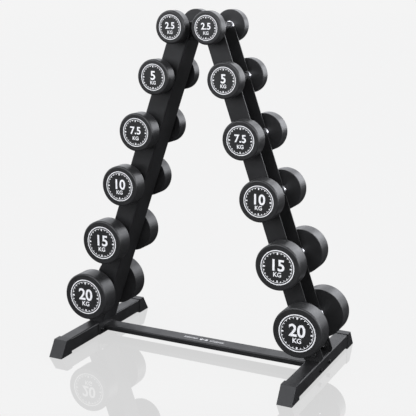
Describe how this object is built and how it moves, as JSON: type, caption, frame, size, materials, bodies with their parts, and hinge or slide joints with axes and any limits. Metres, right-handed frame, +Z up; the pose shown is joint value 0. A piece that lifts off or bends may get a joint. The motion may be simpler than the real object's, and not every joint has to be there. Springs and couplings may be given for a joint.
{
  "type": "dumbbell rack",
  "caption": "A-frame dumbbell rack on two floor feet with a crossbar; leaning notched steel uprights carry pairs of round rubber dumbbells, small at the top and large at the bottom.",
  "frame": {"origin": "on the floor, under the middle of the rack", "axes": "+X along the crossbar to the right, +Y from the front (the side the weight marks face) to the back, +Z up"},
  "size_m": [1.0056, 0.615, 1.2188],
  "materials": {
    "frame_paint": "satin",
    "cap_plastic": "matte",
    "rubber": "matte",
    "chrome": "polished",
    "iron": "matte",
    "fasteners": "satin"
  },
  "bodies": {
    "rack": {"crossbar": "frame_paint", "crossbar_bolts": "fasteners", "crossbar_nuts": "fasteners", "crossbar_washers": "fasteners", "left_base_bracket": "frame_paint", "left_crossbar_plate": "frame_paint", "left_foot_tube": "frame_paint", "left_front_foot_cap": "cap_plastic", "left_rear_foot_cap": "cap_plastic", "left_upright": "frame_paint", "right_base_bracket": "frame_paint", "right_crossbar_plate": "frame_paint", "right_foot_tube": "frame_paint", "right_front_foot_cap": "cap_plastic", "right_rear_foot_cap": "cap_plastic", "right_upright": "frame_paint", "top_link": "frame_paint", "top_link_bolts": "fasteners", "top_link_nuts": "fasteners", "top_link_washers": "fasteners", "upright_bolts": "fasteners", "upright_nuts": "fasteners", "upright_washers": "fasteners"},
    "left_2_5kg_dumbbell": {"left_2_5kg_handle": "chrome", "left_2_5kg_heads": "rubber", "left_2_5kg_cores": "iron"},
    "left_5kg_dumbbell": {"left_5kg_handle": "chrome", "left_5kg_heads": "rubber", "left_5kg_cores": "iron"},
    "left_7_5kg_dumbbell": {"left_7_5kg_handle": "chrome", "left_7_5kg_heads": "rubber", "left_7_5kg_cores": "iron"},
    "left_10kg_dumbbell": {"left_10kg_handle": "chrome", "left_10kg_heads": "rubber", "left_10kg_cores": "iron"},
    "left_15kg_dumbbell": {"left_15kg_handle": "chrome", "left_15kg_heads": "rubber", "left_15kg_cores": "iron"},
    "left_20kg_dumbbell": {"left_20kg_handle": "chrome", "left_20kg_heads": "rubber", "left_20kg_cores": "iron"},
    "right_2_5kg_dumbbell": {"right_2_5kg_handle": "chrome", "right_2_5kg_heads": "rubber", "right_2_5kg_cores": "iron"},
    "right_5kg_dumbbell": {"right_5kg_handle": "chrome", "right_5kg_heads": "rubber", "right_5kg_cores": "iron"},
    "right_7_5kg_dumbbell": {"right_7_5kg_handle": "chrome", "right_7_5kg_heads": "rubber", "right_7_5kg_cores": "iron"},
    "right_10kg_dumbbell": {"right_10kg_handle": "chrome", "right_10kg_heads": "rubber", "right_10kg_cores": "iron"},
    "right_15kg_dumbbell": {"right_15kg_handle": "chrome", "right_15kg_heads": "rubber", "right_15kg_cores": "iron"},
    "right_20kg_dumbbell": {"right_20kg_handle": "chrome", "right_20kg_heads": "rubber", "right_20kg_cores": "iron"}
  },
  "joints": [
    {"name": "left_2_5kg_lift", "type": "slide", "parent": "rack", "child": "left_2_5kg_dumbbell", "axis": [0, 0, 1], "range_m": [0, 0.25]},
    {"name": "left_5kg_lift", "type": "slide", "parent": "rack", "child": "left_5kg_dumbbell", "axis": [-0.9441, 0, 0.3297], "range_m": [0, 0.25]},
    {"name": "left_7_5kg_lift", "type": "slide", "parent": "rack", "child": "left_7_5kg_dumbbell", "axis": [-0.9441, 0, 0.3297], "range_m": [0, 0.25]},
    {"name": "left_10kg_lift", "type": "slide", "parent": "rack", "child": "left_10kg_dumbbell", "axis": [-0.9441, 0, 0.3297], "range_m": [0, 0.25]},
    {"name": "left_15kg_lift", "type": "slide", "parent": "rack", "child": "left_15kg_dumbbell", "axis": [-0.9441, 0, 0.3297], "range_m": [0, 0.25]},
    {"name": "left_20kg_lift", "type": "slide", "parent": "rack", "child": "left_20kg_dumbbell", "axis": [-0.9441, 0, 0.3297], "range_m": [0, 0.25]},
    {"name": "right_2_5kg_lift", "type": "slide", "parent": "rack", "child": "right_2_5kg_dumbbell", "axis": [0, 0, 1], "range_m": [0, 0.25]},
    {"name": "right_5kg_lift", "type": "slide", "parent": "rack", "child": "right_5kg_dumbbell", "axis": [0.9441, 0, 0.3297], "range_m": [0, 0.25]},
    {"name": "right_7_5kg_lift", "type": "slide", "parent": "rack", "child": "right_7_5kg_dumbbell", "axis": [0.9441, 0, 0.3297], "range_m": [0, 0.25]},
    {"name": "right_10kg_lift", "type": "slide", "parent": "rack", "child": "right_10kg_dumbbell", "axis": [0.9441, 0, 0.3297], "range_m": [0, 0.25]},
    {"name": "right_15kg_lift", "type": "slide", "parent": "rack", "child": "right_15kg_dumbbell", "axis": [0.9441, 0, 0.3297], "range_m": [0, 0.25]},
    {"name": "right_20kg_lift", "type": "slide", "parent": "rack", "child": "right_20kg_dumbbell", "axis": [0.9441, 0, 0.3297], "range_m": [0, 0.25]}
  ]
}
